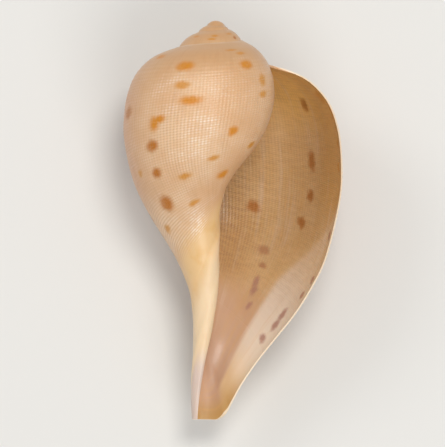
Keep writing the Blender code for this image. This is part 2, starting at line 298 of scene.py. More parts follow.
@dataclass
class WallSheet:
    """The unwound wall: a flat sheet of rows and steps that carries what the winding tree reads."""

    growth: Growth
    cord_relief: CordRelief = CordRelief()
    steps: int = 120
    spire_cords: int = 10
    foot_rows: int = 8
    body_cords: int = 74
    rows_per_cord: int = 4
    pillar_rows: int = 24
    hollow_steps: int = 110
    fine_steps: int = 144
    riblet_pitch: float = 0.80
    riblet_radius: float = 27.0
    coarse_whorls: int = 2
    hidden_cords: int = 3
    largest_apex: float = 5.0
    dome_rings: int = 6
    flat_spacing: tuple[float, float] = (0.01, 0.001)
    corners: dict[Place, int] = field(default_factory=dict)
    values: list[tuple[float, ...]] = field(default_factory=list)
    faces: list[list[int]] = field(default_factory=list)
    face_places: list[list[Place]] = field(default_factory=list)

    def __post_init__(self) -> None:
        """Work out the rows and the grids of both sides."""
        self.lines = GrowthLines(self.growth)
        self.join_row = self.spire_cords * self.rows_per_cord
        self.foot_row = self.join_row + self.foot_rows
        self.wall_row = self.foot_row + self.body_cords * self.rows_per_cord
        self.last_row = self.wall_row + self.pillar_rows
        self.last_step = round(self.growth.whorls * self.steps)
        self.closed_step = round(self.growth.closed_turn / FULL_TURN * self.steps)
        self.row_steps = self.steps // self.pillar_rows
        self.rows = np.arange(self.last_row + 1)
        self.grids = {side: [self.grid(side, step) for step in range(self.last_step + 1)] for side in Side}

    def turn(self, step: int) -> float:
        """Give a step's angle back from the lip."""
        return step / self.steps * FULL_TURN

    def share(self, turn: float) -> np.ndarray:
        """Spread the rows down a growth line; past the wall's foot they run round the pillar.

        Args:
            turn: The angle wound back from the lip.

        Returns:
            The share of each row, above 1 on the pillar.
        """
        join, rows, growth = self.lines.join(turn), self.rows, self.growth
        thin = 1 - ease(abs(turn - FULL_TURN) / growth.lip_thin_turn)
        foot = join + growth.suture_foot + (growth.lip_foot - growth.suture_foot) * thin
        stops = [0, self.join_row, self.foot_row, self.wall_row, self.last_row]
        return np.interp(rows, stops, [0.0, join, foot, 1.0, 1.0 + self.lines.wrap(turn) / FULL_TURN])

    def grid(self, side: Side, step: int) -> np.ndarray:
        """Work out one growth line of one side.

        Args:
            side: The wall's face.
            step: The growth step.

        Returns:
            For each row: angle, distance, depth, share, cord number and how much the cords stand out.
        """
        turn, growth = self.turn(step), self.growth
        share = self.share(turn)
        points = self.points(side, turn, share)
        early = max(turn / FULL_TURN - (growth.whorls - 1), 0.0)
        narrowing = np.where(self.rows < self.join_row, early**2, 0.0)
        points[:, 1:] += (points[self.join_row, 1:] - points[:, 1:]) * narrowing[:, None]
        bend = np.array([1 - growth.corner_share, 1.0, 1.0 + growth.corner_wrap / FULL_TURN])
        start, corner, end = self.points(side, turn, bend)
        slope = np.where(share > 1.0, FULL_TURN / growth.corner_wrap, -1.0 / growth.corner_share)
        rounding = np.clip(1.0 - (share - 1.0) * slope, 0.0, 1.0) ** 2 / 4
        rounding *= 1 - self.lines.closing(turn)
        points += (start + end - 2 * corner) * rounding[:, None]
        cord = self.rows / self.rows_per_cord
        return np.column_stack([points, share, cord, self.relief(side, turn, share)])

    def points(self, side: Side, turn: float, share: np.ndarray) -> np.ndarray:
        """Read places off one growth line of one side, before its corner at the pillar is rounded.

        Args:
            side: The wall's face.
            turn: The angle wound back from the lip.
            share: The places down the growth line, above 1 on the pillar.

        Returns:
            For each place: angle, distance and depth.
        """
        growth = self.growth
        on_wall = np.clip(share, 0.0, 1.0)
        read = self.lines.section if side is Side.OUTSIDE else self.lines.inner_section
        section = read(turn, on_wall)
        wrap = np.clip(share - 1.0, 0.0, None) * FULL_TURN
        degrees, radii = zip(*growth.pillar)
        thick = growth.pillar_wall if side is Side.INSIDE else 0.0
        pillar = np.interp(np.degrees(wrap), degrees, radii) - thick
        radius = np.where(share > 1.0, pillar, section[:, 0])
        depth = np.where(share > 1.0, growth.canal_depth, section[:, 1])
        return np.column_stack([turn - self.lines.lean(on_wall) + wrap, radius, depth])

    def relief(self, side: Side, turn: float, share: np.ndarray) -> np.ndarray:
        """Say how far the cords stand out.

        Args:
            side: The wall's face.
            turn: The angle wound back from the lip.
            share: The rows' places down the growth line.

        Returns:
            The factor for each row.
        """
        if side is Side.INSIDE:
            return np.zeros_like(share)
        if turn >= FULL_TURN:
            return self.cord_relief.above(self.rows, self.join_row)
        return self.cord_relief.body(turn, share)

    def welded(self, place: Place) -> Place:
        """Give the one name of a corner where two edges of the sheet are joined.

        Args:
            place: A corner's side, step and row.

        Returns:
            The place that stands for it.
        """
        side, step, row = place
        if side is Side.INSIDE and row == 0:
            return Side.OUTSIDE, step + self.steps, self.foot_row
        if side is Side.OUTSIDE and row == 0 and step + self.steps <= self.last_step:
            return Side.OUTSIDE, step + self.steps, self.join_row
        if side is Side.OUTSIDE and row < self.join_row and step == self.last_step:
            return Side.OUTSIDE, step, self.join_row
        if side is Side.OUTSIDE and row == self.last_row and step >= self.closed_step:
            return Side.INSIDE, step, self.wall_row
        return place

    def corner(self, place: Place) -> int:
        """Find or make the corner at a place.

        Args:
            place: A corner's side, step and row.

        Returns:
            The corner's number.
        """
        place = self.welded(place)
        if place not in self.corners:
            side, step, row = place
            angle, radius, depth, _, cord, relief = self.grids[side][step][row]
            self.corners[place] = len(self.values)
            self.values.append((self.turn(step), angle, radius, depth, cord, relief))
        return self.corners[place]

    def face(self, places: Sequence[Place]) -> None:
        """Add a face, without the corners that the welds make one.

        Args:
            places: The corners in order.
        """
        kept: dict[int, Place] = {}
        for place in places:
            kept.setdefault(self.corner(place), place)
        if len(kept) > 2:
            self.faces.append(list(kept))
            self.face_places.append(list(kept.values()))

    def band(self, side: Side, step: int, here: Sequence[int], ahead: Sequence[int]) -> None:
        """Fill the sheet between two growth lines, whose rows may be spaced differently.

        Args:
            side: The wall's face.
            step: The first growth line's step.
            here: Its rows.
            ahead: The next growth line's rows.
        """
        shared = sorted(set(here) & set(ahead))
        for top, bottom in zip(shared, shared[1:]):
            left = [(side, step, row) for row in here if top <= row <= bottom]
            right = [(side, step + 1, row) for row in ahead if top <= row <= bottom]
            ring = left + right[::-1]
            self.face(ring[::-1] if side is Side.INSIDE else ring)

    def body_rows(self, step: int) -> list[int]:
        """Give the rows that the outside has below the join, fewer where the next whorl hides it."""
        stride = 1 if step <= self.fine_steps else self.rows_per_cord
        return list(range(self.foot_row, self.wall_row + 1, stride))

    def spire_rows(self, step: int) -> list[int]:
        """Give the rows that the outside has above the join, fewer near the apex."""
        return list(range(0, self.join_row + 1, 1 if step <= self.coarse_whorls * self.steps else 2))

    def inner_rows(self) -> list[int]:
        """Give the inside's rows, one to a cord."""
        return [0, *range(self.hidden_cords * self.rows_per_cord, self.wall_row + 1, self.rows_per_cord)]

    def lay_outside(self) -> None:
        """Fill the outside, down to where the hollow ends."""
        for step in range(self.last_step):
            self.band(Side.OUTSIDE, step, self.spire_rows(step), self.spire_rows(step + 1))
            if step < self.steps:
                foot = range(self.join_row, self.foot_row + 1)
                self.band(Side.OUTSIDE, step, foot, foot)
            if step < self.steps + self.hollow_steps:
                self.band(Side.OUTSIDE, step, self.body_rows(step), self.body_rows(step + 1))
        for row in range(self.wall_row, self.last_row):
            end = self.hollow_steps + self.steps - self.row_steps * (row + 1 - self.wall_row)
            for step in range(end):
                self.band(Side.OUTSIDE, step, (row, row + 1), (row, row + 1))
            for step in range(end, end + self.row_steps):
                corners = ((step, row), (end, row + 1), (step + 1, row))
                self.face([(Side.OUTSIDE, *corner) for corner in corners])

    def lay_inside(self) -> None:
        """Fill the inside of the hollow, and the open trough of the canal."""
        rows, trough = self.inner_rows(), range(self.wall_row, self.last_row + 1)
        for step in range(self.hollow_steps):
            self.band(Side.INSIDE, step, rows, rows)
            if step < self.closed_step:
                self.band(Side.INSIDE, step, trough, trough)

    def lay_edges(self) -> None:
        """Close the lip's rim and the canal's free edge."""
        rows = [*self.inner_rows(), *range(self.wall_row + 1, self.last_row + 1)]
        for top, bottom in zip(rows, rows[1:]):
            outer = [(Side.OUTSIDE, 0, row) for row in range(top, bottom + 1)]
            inner = [(Side.INSIDE, 0, bottom), (Side.INSIDE, 0, top)]
            if top == 0:
                foot = range(self.foot_row - 1, self.join_row, -1)
                inner += [(Side.OUTSIDE, self.steps, row) for row in foot]
            self.face((outer + inner)[::-1])
        for step in range(self.closed_step):
            self.face([
                (Side.INSIDE, step, self.last_row), (Side.INSIDE, step + 1, self.last_row),
                (Side.OUTSIDE, step + 1, self.last_row), (Side.OUTSIDE, step, self.last_row),
            ])

    def open_loops(self) -> list[list[int]]:
        """Find the loops of edges that only one face has, each in the direction a closing face needs."""
        count: dict[tuple[int, int], int] = {}
        for face in self.faces:
            for one, other in zip(face, face[1:] + face[:1]):
                count[one, other] = count.get((one, other), 0) + 1
        following = {other: one for one, other in count if (other, one) not in count}
        loops = []
        while following:
            start = next(iter(following))
            loop = [start]
            while (corner := following.pop(loop[-1])) != start:
                loop.append(corner)
            loops.append(loop)
        return loops

    def close(self) -> None:
        """Close the hollow's far end and the pillar's core flat, and the apex with a dome."""
        growth = self.growth
        for loop in self.open_loops():
            sizes = [math.exp(-growth.rate * self.values[c][0]) * self.values[c][3] for c in loop]
            if max(sizes) > self.largest_apex:
                self.faces.append(loop)
                self.face_places.append([(Side.INSIDE, self.hollow_steps, self.wall_row)] * len(loop))
                continue
            self.dome(loop)

    def dome(self, loop: list[int]) -> None:
        """Round the apex off inside its last open loop.

        Args:
            loop: The loop's corners.
        """
        growth, rings = self.growth, self.dome_rings
        size = {c: math.exp(-growth.rate * self.values[c][0]) for c in loop}
        place = (Side.OUTSIDE, self.last_step, 1)
        low = math.sin(growth.dome_start)
        before = loop
        for ring in range(1, rings + 1):
            part = growth.dome_start + ring / rings * (math.pi / 2 - growth.dome_start)
            rise = (math.sin(part) - low) / (1 - low)
            spread = math.cos(part) / math.cos(growth.dome_start)
            here = []
            for corner in loop if ring < rings else loop[:1]:
                _, angle, radius, depth, _, _ = self.values[corner]
                radius, depth = radius * size[corner] * spread, depth * size[corner]
                depth += (growth.apex_depth - depth) * rise
                here.append(len(self.values))
                self.values.append((0.0, angle, radius, depth, 0.0, 0.0))
            for n, corner in enumerate(before):
                upper = [here[(n + 1) % len(here)], here[n]] if ring < rings else [here[0]]
                self.faces.append([corner, before[(n + 1) % len(before)], *upper])
                self.face_places.append([place] * len(self.faces[-1]))
            before = here

    def lay(self) -> None:
        """Lay out the whole sheet."""
        self.lay_outside()
        self.lay_inside()
        self.lay_edges()
        self.close()

    def riblet(self, step: int) -> float:
        """Count the riblets from the lip back to a step, evenly spaced along the shoulder."""
        rate = self.growth.rate
        return self.riblet_radius * (1 - math.exp(-rate * self.turn(step))) / rate / self.riblet_pitch

    def glazed(self, place: Place) -> bool:
        """Tell whether a face that starts at a place is in the hollow, and so has the glaze."""
        side, step, row = place
        return side is Side.INSIDE or step >= self.steps and row >= self.foot_row and row < self.wall_row

    def mesh(self) -> bpy.types.Mesh:
        """Make the flat sheet's mesh, with its attributes and UV maps.

        Returns:
            The mesh, with the attributes that the winding tree reads.
        """
        across, down = self.flat_spacing
        flat = [(values[0] * across, values[4] * down, 0.0) for values in self.values]
        mesh = bpy.data.meshes.new("unwound_wall")
        mesh.from_pydata(flat, [], self.faces)
        for k, name in enumerate(("turn", "angle", "distance", "depth", "cord", "relief")):
            layer = mesh.attributes.new(name, "FLOAT", "POINT")
            layer.data.foreach_set("value", [values[k] for values in self.values])
        glazed = mesh.attributes.new("glazed", "BOOLEAN", "FACE")
        in_hollow = [all(self.glazed(place) for place in places) for places in self.face_places]
        glazed.data.foreach_set("value", in_hollow)
        places = [place for group in self.face_places for place in group]
        for name, read in (("growth", self.growth_uv), ("net", self.net_uv)):
            layer = mesh.uv_layers.new(name=name)
            layer.data.foreach_set("uv", [value for place in places for value in read(place)])
        return mesh

    def growth_uv(self, place: Place) -> tuple[float, float]:
        """Give a corner's whorls back from the lip, and its share down the growth line."""
        side, step, row = place
        return step / self.steps, float(self.grids[side][step][row][3])

    def net_uv(self, place: Place) -> tuple[float, float]:
        """Give a corner's riblet and cord numbers, in units of the net UV map."""
        _, step, row = place
        return self.riblet(step) / NET_UNIT, row / self.rows_per_cord / NET_UNIT


@dataclass(frozen=True)
class Noise:
    """A noise texture: lumps to a unit, finer layers, their strength, and a stretch of its coordinates."""

    scale: float = 1.0
    detail: float = 2.0
    roughness: float = 0.5
    stretch: tuple[float, float, float] | None = None


class Value:
    """A number in a node tree that can be used in Python sums."""

    def __init__(self, graph: Graph, socket: bpy.types.NodeSocket) -> None:
        """Wrap the output socket of a tree that carries the number."""
        self.graph = graph
        self.socket = socket

    def sum(self, operation: str, *others: Value | float) -> Value:
        """Add one Math node that takes this number and the others, and give its result."""
        return self.graph.maths(operation, self, *others)

    def __add__(self, other: Value | float) -> Value:
        """Add."""
        return self.sum("ADD", other)

    __radd__ = __add__

    def __mul__(self, other: Value | float) -> Value:
        """Multiply."""
        return self.sum("MULTIPLY", other)

    __rmul__ = __mul__

    def __sub__(self, other: Value | float) -> Value:
        """Subtract."""
        return self.sum("SUBTRACT", other)

    def __rsub__(self, other: Value | float) -> Value:
        """Subtract from a plain number."""
        return self.graph.maths("SUBTRACT", other, self)

    def __pow__(self, other: float) -> Value:
        """Raise to a power."""
        return self.sum("POWER", other)

    def cos(self) -> Value:
        """Take the cosine."""
        return self.sum("COSINE")

    def sin(self) -> Value:
        """Take the sine."""
        return self.sum("SINE")

    def exp(self) -> Value:
        """Raise e to this power."""
        return self.sum("EXPONENT")

    def wave(self, crests_and_glints: int = 1) -> Value:
        """Swing from 1 at every whole number to 0 and back, once or more between two of them."""
        return (self * (crests_and_glints * FULL_TURN)).cos() * 0.5 + 0.5

    def ramp(self, start: float, end: float, low: float = 0.0, high: Value | float = 1.0) -> Value:
        """Ease from low to high while the number goes from start to end.

        Args:
            start: Where the rise starts.
            end: Where it ends.
            low: The result before it.
            high: The result after it.

        Returns:
            The eased number.
        """
        node = self.graph.node(
            "ShaderNodeMapRange",
            {"interpolation_type": "SMOOTHSTEP"},
            {"Value": self, "From Min": start, "From Max": end, "To Min": low, "To Max": high},
        )
        return Value(self.graph, node.outputs[0])


class Graph:
    """A node tree in the making, for a material or a modifier."""

    def __init__(self, tree: bpy.types.NodeTree) -> None:
        """Keep the node tree to add to."""
        self.tree = tree

    def put(self, socket: bpy.types.NodeSocket, value: Any) -> None:
        """Link a socket or set its value.

        Args:
            socket: An input.
            value: A Value, an output socket, or a plain value.
        """
        if isinstance(value, Value):
            value = value.socket
        if isinstance(value, bpy.types.NodeSocket):
            self.tree.links.new(value, socket)
        else:
            socket.default_value = value

    def node(self, kind: str, settings: dict[str, Any], sockets: dict[str | int, Any]) -> bpy.types.Node:
        """Add one node.

        Args:
            kind: The node's type.
            settings: What is set on the node first.
            sockets: Values or links of its inputs, by name or number.

        Returns:
            The node.
        """
        node = self.tree.nodes.new(kind)
        for name, value in settings.items():
            setattr(node, name, value)
        for name, value in sockets.items():
            self.put(node.inputs[name], value)
        return node

    def maths(self, operation: str, *values: Value | float) -> Value:
        """Add a Math node that takes the numbers in order, and give its result."""
        node = self.node("ShaderNodeMath", {"operation": operation}, dict(enumerate(values)))
        return Value(self, node.outputs[0])

    def least(self, values: Iterable[Value]) -> Value:
        """Take the least of several numbers.

        Args:
            values: The numbers.

        Returns:
            The least.
        """
        first, *others = values
        for other in others:
            first = self.maths("MINIMUM", first, other)
        return first

    def vector(self, operation: str, *values: Any) -> bpy.types.Node:
        """Add a Vector Math node that takes the vectors in order."""
        return self.node("ShaderNodeVectorMath", {"operation": operation}, dict(enumerate(values)))

    def mix(self, amount: Value | float, start: Any, end: Any) -> bpy.types.NodeSocket:
        """Mix two colours.

        Args:
            amount: How much of the second one shows.
            start: The first colour.
            end: The second colour.

        Returns:
            The mixed colour.
        """
        node = self.node("ShaderNodeMix", {"data_type": "RGBA"}, {0: amount})
        colours = [socket for socket in node.inputs if socket.type == "RGBA"]
        self.put(colours[0], start)
        self.put(colours[1], end)
        return next(socket for socket in node.outputs if socket.type == "RGBA")

    def coats(self, colour: Any, *coats: tuple[Value | float, Any]) -> Any:
        """Lay colours over one another.

        Args:
            colour: The lowest one.
            coats: How much of each next colour shows, and that colour.

        Returns:
            The mixed colour.
        """
        for amount, coat in coats:
            colour = self.mix(amount, colour, coat)
        return colour

    def noise(self, place: Any, noise: Noise) -> bpy.types.Node:
        """Add a noise texture, on coordinates that are stretched first where it says so."""
        if noise.stretch:
            place = self.vector("MULTIPLY", place, noise.stretch).outputs[0]
        return self.node("ShaderNodeTexNoise", {}, {
            "Vector": place, "Scale": noise.scale, "Detail": noise.detail, "Roughness": noise.roughness,
        })

    def mottle(self, place: Any, noise: Noise) -> Value:
        """Add a noise texture and give its height."""
        return Value(self, self.noise(place, noise).outputs[0])


@dataclass(frozen=True)
class Winding:
    """The Geometry Nodes tree that winds the flat sheet into the shell, ribs it and lays it on its back."""

    growth: Growth
    cord_height: float = 0.075
    scallop: float = 0.006
    scallops: int = 2
    scallop_turn: float = 0.04
    sharp_angle: float = math.radians(60)
    pitch: float = math.radians(8.6)
    roll: float = math.radians(-1.2)
    offset: tuple[float, float, float] = (-4.625, 43.678, 28.134)

    def sizes(self) -> dict[str, float | tuple[float, float, float]]:
        """Give the tree's named inputs and their values, in metres and radians."""
        return {
            "Growth Rate": self.growth.rate,
            "Cord Height": self.cord_height * MM,
            "Lip Scallop": self.scallop,
            "Millimetre": MM,
            "Rest Turn": (self.pitch, self.roll, 0.0),
            "Rest Offset": tuple(value * MM for value in self.offset),
        }

    def tree(self, outside: bpy.types.Material, inside: bpy.types.Material) -> bpy.types.NodeTree:
        """Build the tree.

        Args:
            outside: The finish of the wall's outside.
            inside: The finish of its inside.

        Returns:
            The node tree.
        """
        tree = bpy.data.node_groups.new("shell_winding", "GeometryNodeTree")
        tree.interface.new_socket("Geometry", in_out="INPUT", socket_type="NodeSocketGeometry")
        for name, value in self.sizes().items():
            kind = "NodeSocketVector" if isinstance(value, tuple) else "NodeSocketFloat"
            tree.interface.new_socket(name, in_out="INPUT", socket_type=kind)
        tree.interface.new_socket("Geometry", in_out="OUTPUT", socket_type="NodeSocketGeometry")
        graph = Graph(tree)
        given = graph.node("NodeGroupInput", {}, {}).outputs

        def read(name: str) -> Value:
            """Read one of the sheet's attributes."""
            node = graph.node("GeometryNodeInputNamedAttribute", {"data_type": "FLOAT"}, {"Name": name})
            return Value(graph, node.outputs["Attribute"])

        shrunk = (read("turn") * Value(graph, given["Growth Rate"]) * -1.0).exp()
        size = shrunk * Value(graph, given["Millimetre"])
        near_lip = read("turn").ramp(self.scallop_turn, 0.0)
        scallop = (read("cord") * (self.scallops * FULL_TURN)).cos() * near_lip
        reach, angle = read("distance") * size, read("angle") - scallop * Value(graph, given["Lip Scallop"])
        wound = graph.node("ShaderNodeCombineXYZ", {}, {
            "X": reach * angle.cos(), "Y": read("depth") * size * -1.0, "Z": reach * angle.sin() * -1.0,
        })
        spiral = graph.node("GeometryNodeSetPosition", {}, {
            "Geometry": given["Geometry"], "Position": wound.outputs[0],
        })
        height = read("cord").wave() * read("relief") * Value(graph, given["Cord Height"])
        normal = graph.node("GeometryNodeInputNormal", {}, {})
        raised = graph.node("ShaderNodeVectorMath", {"operation": "SCALE"}, {
            "Vector": normal.outputs["Normal"], "Scale": height,
        })
        ribbed = graph.node("GeometryNodeSetPosition", {}, {
            "Geometry": spiral.outputs[0], "Offset": raised.outputs[0],
        })
        laid = graph.node("GeometryNodeTransform", {}, {
            "Geometry": ribbed.outputs[0],
            "Rotation": given["Rest Turn"],
            "Translation": given["Rest Offset"],
        })
        real = graph.node("GeometryNodeRealizeInstances", {}, {"Geometry": laid.outputs[0]})
        all_over = graph.node("GeometryNodeSetMaterial", {}, {
            "Geometry": real.outputs[0], "Material": outside,
        })
        glazed = graph.node("GeometryNodeInputNamedAttribute", {"data_type": "BOOLEAN"}, {"Name": "glazed"})
        dressed = graph.node("GeometryNodeSetMaterial", {}, {
            "Geometry": all_over.outputs[0], "Selection": glazed.outputs["Attribute"], "Material": inside,
        })
        graph.node("NodeGroupOutput", {}, {"Geometry": dressed.outputs[0]})
        return tree

    def wind(self, sheet: bpy.types.Mesh, tree: bpy.types.NodeTree) -> bpy.types.Object:
        """Wind the sheet and keep the result as a plain mesh.

        Args:
            sheet: The flat sheet.
            tree: The winding tree.

        Returns:
            The shell's object.
        """
        flat = bpy.data.objects.new("unwound", sheet)
        bpy.context.scene.collection.objects.link(flat)
        modifier = flat.modifiers.new("winding", "NODES")
        modifier.node_group = tree
        for item in tree.interface.items_tree:
            if item.in_out == "INPUT" and item.name in self.sizes():
                modifier[item.identifier] = self.sizes()[item.name]
        graph = bpy.context.evaluated_depsgraph_get()
        whole = flat.evaluated_get(graph)
        mesh = bpy.data.meshes.new_from_object(whole, preserve_all_data_layers=True, depsgraph=graph)
        flat.modifiers.remove(modifier)
        bpy.data.objects.remove(flat)
        mesh.name = "shell_wall"
        mesh.shade_smooth()
        mesh.set_sharp_from_angle(angle=self.sharp_angle)
        shell = bpy.data.objects.new("shell_wall", mesh)
        bpy.context.scene.collection.objects.link(shell)
        return shell


@dataclass(frozen=True)
class Blotch:
    """One blurred blotch of pigment in the wall, which shows on both of its faces."""

    turn: float  # degrees back from the lip
    share: float  # place down the growth line
    along: float  # width along the spiral
    down: float  # height down the growth line
    tone: Tone = Tone.TAN


def group(tone: Tone, *rows: tuple[float, float, float, float]) -> tuple[Blotch, ...]:
    """Give several blotches one tone.

    Args:
        tone: Their pigment.
        rows: The turn, share, width and height of each.

    Returns:
        The blotches.
    """
    return tuple(Blotch(*row, tone) for row in rows)


@dataclass(frozen=True)
class Scatter:
    """Spreads blotches in spiral rows over the back, where the photograph shows none."""

    rows: tuple[float, ...] = (0.14, 0.19, 0.25, 0.32, 0.40, 0.48, 0.57, 0.68, 0.76)
    tones: tuple[Tone, ...] = (Tone.TAN, Tone.TAN, Tone.FAINT, Tone.RUST)
    start: tuple[float, float] = (0.0, 30.0)
    back: tuple[float, float] = (70.0, 158.0)
    gap: tuple[float, float] = (22.0, 42.0)
    stray: tuple[float, float] = (-0.01, 0.01)
    along: tuple[float, float] = (1.8, 3.8)
    down: tuple[float, float] = (1.4, 2.4)
    spire: range = range(380, 720, 48)
    spire_stray: tuple[float, float] = (-12.0, 12.0)
    spire_share: tuple[float, float] = (0.05, 0.12)
    spire_size: tuple[float, float] = (1.4, 0.7)
    seed: int = 14

    def marks(self) -> tuple[Blotch, ...]:
        """Draw the blotches of the back, and then a few faint ones on the spire.

        Returns:
            The blotches.
        """
        draw = random.Random(self.seed)
        marks = []
        for row in self.rows:
            turn = self.back[0] + draw.uniform(*self.start)
            while turn < self.back[1]:
                tone = draw.choice(self.tones)
                share = row + draw.uniform(*self.stray)
                marks.append(Blotch(turn, share, draw.uniform(*self.along), draw.uniform(*self.down), tone))
                turn += draw.uniform(*self.gap)
        for middle in self.spire:
            turn, share = middle + draw.uniform(*self.spire_stray), draw.uniform(*self.spire_share)
            marks.append(Blotch(turn, share, *self.spire_size, Tone.FAINT))
        return tuple(marks)


@dataclass(frozen=True)
class Blotches:
    """The blotches, the zones of painted glints that brighten the net's crests, and how the finishes read
    them.
    """

    growth: Growth
    front: tuple[Blotch, ...] = (
        *group(
            Tone.TAN, (244, 0.161, 3.6, 2.2), (253, 0.306, 5.0, 1.9), (225, 0.380, 2.4, 3.0),
            (229, 0.366, 3.0, 1.7), (291, 0.459, 2.2, 2.0), (289, 0.669, 2.3, 2.0), (302, 0.168, 3.0, 2.0),
            (207, 0.098, 2.8, 1.5),
        ),
        *group(
            Tone.FAINT, (245, 0.241, 3.2, 1.6), (247, 0.612, 2.6, 1.3), (247, 0.745, 2.3, 1.3),
            (276, 0.565, 2.5, 1.3), (320, 0.553, 2.2, 1.7), (319, 0.247, 2.1, 2.6), (319, 0.312, 2.8, 1.5),
            (301, 0.105, 2.2, 0.9), (290, 0.078, 2.6, 0.8), (189, 0.757, 1.8, 1.8), (201, 0.541, 1.8, 1.3),
            (622, 0.137, 1.7, 0.6),
        ),
        *group(
            Tone.RUST, (222, 0.462, 3.2, 2.4), (221, 0.566, 2.5, 2.3), (214, 0.687, 3.1, 3.6),
            (192, 0.319, 3.8, 2.7), (679, 0.137, 0.9, 0.8),
        ),
    )
    mouth: tuple[Blotch, ...] = (
        *group(
            Tone.BROWN, (32, 0.183, 2.0, 3.2), (33, 0.333, 2.2, 4.0), (33, 0.427, 2.2, 2.4),
            (37, 0.50, 2.4, 2.6), (69, 0.494, 3.0, 2.6),
        ),
        *group(Tone.ROSE, (58, 0.61, 2.7, 2.3), (55, 0.65, 1.9, 1.3)),
        *group(Tone.MAUVE, (54, 0.705, 1.4, 3.0), (52, 0.728, 1.4, 3.0), (48, 0.775, 1.0, 2.2)),
        *group(
            Tone.VIOLET, (5, 0.498, 1.5, 2.4), (5, 0.614, 1.5, 1.7), (7, 0.658, 1.3, 1.8),
            (13, 0.730, 1.5, 3.2), (12, 0.757, 1.7, 2.8), (14, 0.805, 1.8, 1.8),
        ),
        *group(Tone.TAN, (2, 0.189, 1.6, 4.4), (5, 0.27, 1.0, 2.3), (6, 0.331, 0.9, 2.0)),
        *group(Tone.FAINT, (9, 0.152, 3.6, 3.0)),
    )
    # Zones of painted highlight: there the net's crests are brightened as glints.
    painted_glints: tuple[Blotch, ...] = (
        Blotch(233, 0.275, 7.0, 10.0), Blotch(285, 0.265, 9.0, 6.0), Blotch(293, 0.140, 6.0, 3.0),
        Blotch(264, 0.430, 8.0, 9.0), Blotch(256, 0.530, 9.0, 6.0), Blotch(242, 0.840, 3.5, 7.0),
    )
    scatter: Scatter = Scatter()
    blur: float = 0.6

    def distance(self, graph: Graph, place: Any, marks: Iterable[Blotch]) -> Value:
        """Measure how far a point is from the nearest blotch, where 1 is the blotch's edge.

        Args:
            graph: The material's tree.
            place: The growth coordinates.
            marks: The blotches to measure to.

        Returns:
            The distance.
        """
        lines = GrowthLines(self.growth)
        spans = []
        for mark in marks:
            turn = math.radians(mark.turn)
            size = math.exp(-self.growth.rate * turn)
            line = lines.line(turn)
            radius = float(lines.at(line, mark.share)[0]) * size
            length = float(np.linalg.norm(np.diff(line, axis=0), axis=1).sum()) * size
            wide = mark.along / 2 / (radius * FULL_TURN)
            high = mark.down / 2 / length
            start = (-(mark.turn / 360) / wide, -mark.share / high, 0.0)
            local = graph.vector("MULTIPLY_ADD", place, (1 / wide, 1 / high, 0.0), start)
            spans.append(Value(graph, graph.vector("LENGTH", local.outputs[0]).outputs["Value"]))
        return graph.least(spans)

    def stain(
        self, graph: Graph, place: Any, colour: Any, strength: Value | float, marked: Iterable[Blotch]
    ) -> Any:
        """Stain a colour with blotches.

        Args:
            graph: The material's tree.
            place: The growth coordinates.
            colour: The colour under the blotches.
            strength: How much they hide it.
            marked: The blotches to lay on.

        Returns:
            The stained colour.
        """
        for tone in Tone:
            marks = [mark for mark in marked if mark.tone is tone]
            if marks:
                away = self.distance(graph, place, marks)
                amount = away.ramp(1 + self.blur, 1 - self.blur, 0.0, strength)
                colour = graph.mix(amount, colour, tone.value)
        return colour


@dataclass(frozen=True)
class ShellFinish:
    """What the finishes of both faces share."""

    blotches: Blotches
    name: str = "shell_outside"
    ground: Colour = (0.67, 0.385, 0.195, 1.0)
    pale: Colour = (0.79, 0.535, 0.325, 1.0)
    cream: Colour = (0.86, 0.70, 0.51, 1.0)
    roughness: float = 0.42
    wobble: Noise = Noise(420.0, 5.0, 0.75)
    wobble_reach: tuple[float, float, float] = (0.017, 0.027, 0.0)
    glow: float = 0.12
    glow_radius: tuple[float, float, float] = (0.0016, 0.0009, 0.0005)

    def start(self) -> tuple[bpy.types.Material, Graph, dict[str, Any]]:
        """Make the material and read its coordinates.

        Returns:
            The material, its tree, and the coordinates by name.
        """
        material = bpy.data.materials.new(self.name)
        material.use_nodes = True
        graph = Graph(material.node_tree)
        graph.tree.nodes.clear()
        place = graph.node("ShaderNodeTexCoord", {}, {}).outputs["Object"]
        growth = graph.node("ShaderNodeUVMap", {"uv_map": "growth"}, {}).outputs[0]
        net = graph.node("ShaderNodeUVMap", {"uv_map": "net"}, {}).outputs[0]
        split = graph.node("ShaderNodeSeparateXYZ", {}, {0: growth}).outputs
        counts = graph.node("ShaderNodeSeparateXYZ", {}, {0: net}).outputs
        wobble = graph.noise(place, self.wobble).outputs["Color"]
        centred = graph.vector("SUBTRACT", wobble, (0.5, 0.5, 0.5)).outputs[0]
        shifted = graph.vector("MULTIPLY_ADD", centred, self.wobble_reach, growth).outputs[0]
        return material, graph, {
            "object": place, "growth": growth, "net": net, "blurred": shifted,
            "whorl": Value(graph, split[0]), "share": Value(graph, split[1]),
            "riblet": Value(graph, counts[0]) * NET_UNIT, "cord": Value(graph, counts[1]) * NET_UNIT,
        }

    def end(self, graph: Graph, relief: Value, bump: tuple[float, float], sockets: dict[str, Any]) -> None:
        """Add the bump, the shader and the output.

        Args:
            graph: The material's tree.
            relief: The height of the fine relief.
            bump: Its strength, and its distance in metres.
            sockets: The shader's inputs by name.
        """
        settings = {"Strength": bump[0], "Distance": bump[1], "Height": relief}
        normal = graph.node("ShaderNodeBump", {}, settings).outputs[0]
        shader = graph.node("ShaderNodeBsdfPrincipled", {}, {
            "Normal": normal, "Subsurface Weight": self.glow, "Subsurface Radius": self.glow_radius,
            "Subsurface Scale": 1.0, **sockets,
        })
        graph.node("ShaderNodeOutputMaterial", {}, {"Surface": shader.outputs[0]})


